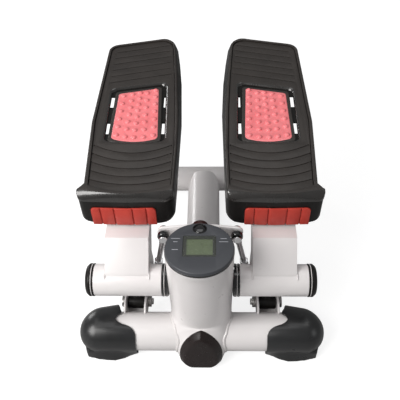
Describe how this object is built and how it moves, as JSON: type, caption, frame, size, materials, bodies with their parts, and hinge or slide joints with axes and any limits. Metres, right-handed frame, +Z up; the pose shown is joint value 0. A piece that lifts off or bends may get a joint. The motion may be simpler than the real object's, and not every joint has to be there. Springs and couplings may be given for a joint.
{
  "type": "stepper",
  "caption": "Mini stepper with two rocking pedal arms, see-saw link, damper cylinders, round console and dimpled foot pads.",
  "frame": {"origin": "on the floor under the middle of the machine's footprint", "axes": "+X to the user's left, -Y towards the console and the way the user faces, +Z up"},
  "size_m": [0.383, 0.5115, 0.2811],
  "materials": {
    "white_paint": "satin powder coat",
    "charcoal_plastic": "satin",
    "black_plastic": "satin",
    "slate_plastic": "satin",
    "tread_rubber": "matte, grooved",
    "coral_rubber": "satin, dimpled",
    "red_plastic": "satin",
    "chrome": "polished",
    "steel": "zinc plated",
    "clear_window": "clear",
    "lcd": "reflective liquid crystal",
    "board": "solder mask",
    "bush_plastic": "natural nylon"
  },
  "bodies": {
    "frame": {"front_stabiliser_tube": "white_paint", "main_tube": "white_paint", "rear_stabiliser_tube": "white_paint", "front_end_cap_left": "charcoal_plastic", "front_end_cap_right": "charcoal_plastic", "rear_end_cap_left": "charcoal_plastic", "rear_end_cap_right": "charcoal_plastic", "column": "white_paint", "nose_cap": "black_plastic", "console_housing": "slate_plastic", "console_base": "black_plastic", "lcd_window": "clear_window", "lcd_panel": "lcd", "circuit_board": "board", "battery": "steel", "pivot_axle": "steel", "axle_nut_left": "steel", "axle_nut_right": "steel", "rocker_pivot_bolt": "steel", "rocker_pivot_cap": "red_plastic", "reed_sensor": "black_plastic", "damper_bracket_left": "white_paint", "damper_bracket_right": "white_paint", "damper_lower_bolt_left": "steel", "damper_lower_bolt_right": "steel"},
    "button": {"console_button": "black_plastic"},
    "rocker": {"rocker_plate": "steel", "rocker_bush": "bush_plastic", "rocker_stud_left": "chrome", "rocker_stud_right": "chrome", "step_magnet": "steel"},
    "pedal_arm_left": {"pivot_tube_left": "white_paint", "pivot_bush_left": "bush_plastic", "pivot_collar_left": "black_plastic", "pivot_cap_left": "black_plastic", "arm_left": "white_paint", "damper_upper_pin_left": "steel", "tie_rod_pin_left": "steel", "pedal_shell_left": "black_plastic", "tread_left": "tread_rubber", "massage_pad_left": "coral_rubber", "toe_insert_left": "red_plastic"},
    "tie_rod_left": {"tie_rod_left": "chrome"},
    "damper_left": {"damper_cylinder_left": "black_plastic"},
    "piston_left": {"piston_rod_left": "chrome"},
    "pedal_arm_right": {"pivot_tube_right": "white_paint", "pivot_bush_right": "bush_plastic", "pivot_collar_right": "black_plastic", "pivot_cap_right": "black_plastic", "arm_right": "white_paint", "damper_upper_pin_right": "steel", "tie_rod_pin_right": "steel", "pedal_shell_right": "black_plastic", "tread_right": "tread_rubber", "massage_pad_right": "coral_rubber", "toe_insert_right": "red_plastic"},
    "tie_rod_right": {"tie_rod_right": "chrome"},
    "damper_right": {"damper_cylinder_right": "black_plastic"},
    "piston_right": {"piston_rod_right": "chrome"}
  },
  "joints": [
    {"name": "pedal_arm_left", "type": "hinge", "parent": "frame", "child": "pedal_arm_left", "pos_m": [0, -0.1757, 0.129], "axis": [1, 0, 0], "range_deg": [-12, 12]},
    {"name": "tie_rod_left", "type": "hinge", "parent": "pedal_arm_left", "child": "tie_rod_left", "pos_m": [0.069, -0.1347, 0.108], "axis": [1, 0, 0], "range_deg": [-9.7, 9.7]},
    {"name": "damper_left", "type": "hinge", "parent": "frame", "child": "damper_left", "pos_m": [0.105, -0.1587, 0.048], "axis": [1, 0, 0], "range_deg": [-9, 9]},
    {"name": "piston_left", "type": "slide", "parent": "damper_left", "child": "piston_left", "axis": [0, 0.6, 0.8], "range_m": [-0.0131, 0.0131]},
    {"name": "pedal_arm_right", "type": "hinge", "parent": "frame", "child": "pedal_arm_right", "pos_m": [0, -0.1757, 0.129], "axis": [1, 0, 0], "range_deg": [-12, 12]},
    {"name": "tie_rod_right", "type": "hinge", "parent": "pedal_arm_right", "child": "tie_rod_right", "pos_m": [-0.069, -0.1347, 0.108], "axis": [1, 0, 0], "range_deg": [-9.7, 9.7]},
    {"name": "damper_right", "type": "hinge", "parent": "frame", "child": "damper_right", "pos_m": [-0.105, -0.1587, 0.048], "axis": [1, 0, 0], "range_deg": [-9, 9]},
    {"name": "piston_right", "type": "slide", "parent": "damper_right", "child": "piston_right", "axis": [0, 0.6, 0.8], "range_m": [-0.0131, 0.0131]},
    {"name": "rocker", "type": "hinge", "parent": "frame", "child": "rocker", "pos_m": [0, -0.1517, 0.212], "axis": [0, 1, 0], "range_deg": [-8.3, 8.3]},
    {"name": "console_button", "type": "slide", "parent": "frame", "child": "button", "axis": [0, -0.0715, -0.9974], "range_m": [0, 0.0015], "stiffness_N_per_m": 400, "springref_m": -0.001}
  ],
  "couplings": [
    {"joint": "pedal_arm_right", "follows": "pedal_arm_left", "ratio": -1},
    {"joint": "rocker", "follows": "pedal_arm_left", "ratio": -0.68},
    {"joint": "tie_rod_left", "follows": "pedal_arm_left", "ratio": -0.8},
    {"joint": "tie_rod_right", "follows": "pedal_arm_left", "ratio": 0.8},
    {"joint": "damper_left", "follows": "pedal_arm_left", "ratio": 0.741},
    {"joint": "damper_right", "follows": "pedal_arm_left", "ratio": -0.741},
    {"joint": "piston_left", "follows": "pedal_arm_left", "m_per_rad": 0.06208},
    {"joint": "piston_right", "follows": "pedal_arm_left", "m_per_rad": -0.06208}
  ]
}
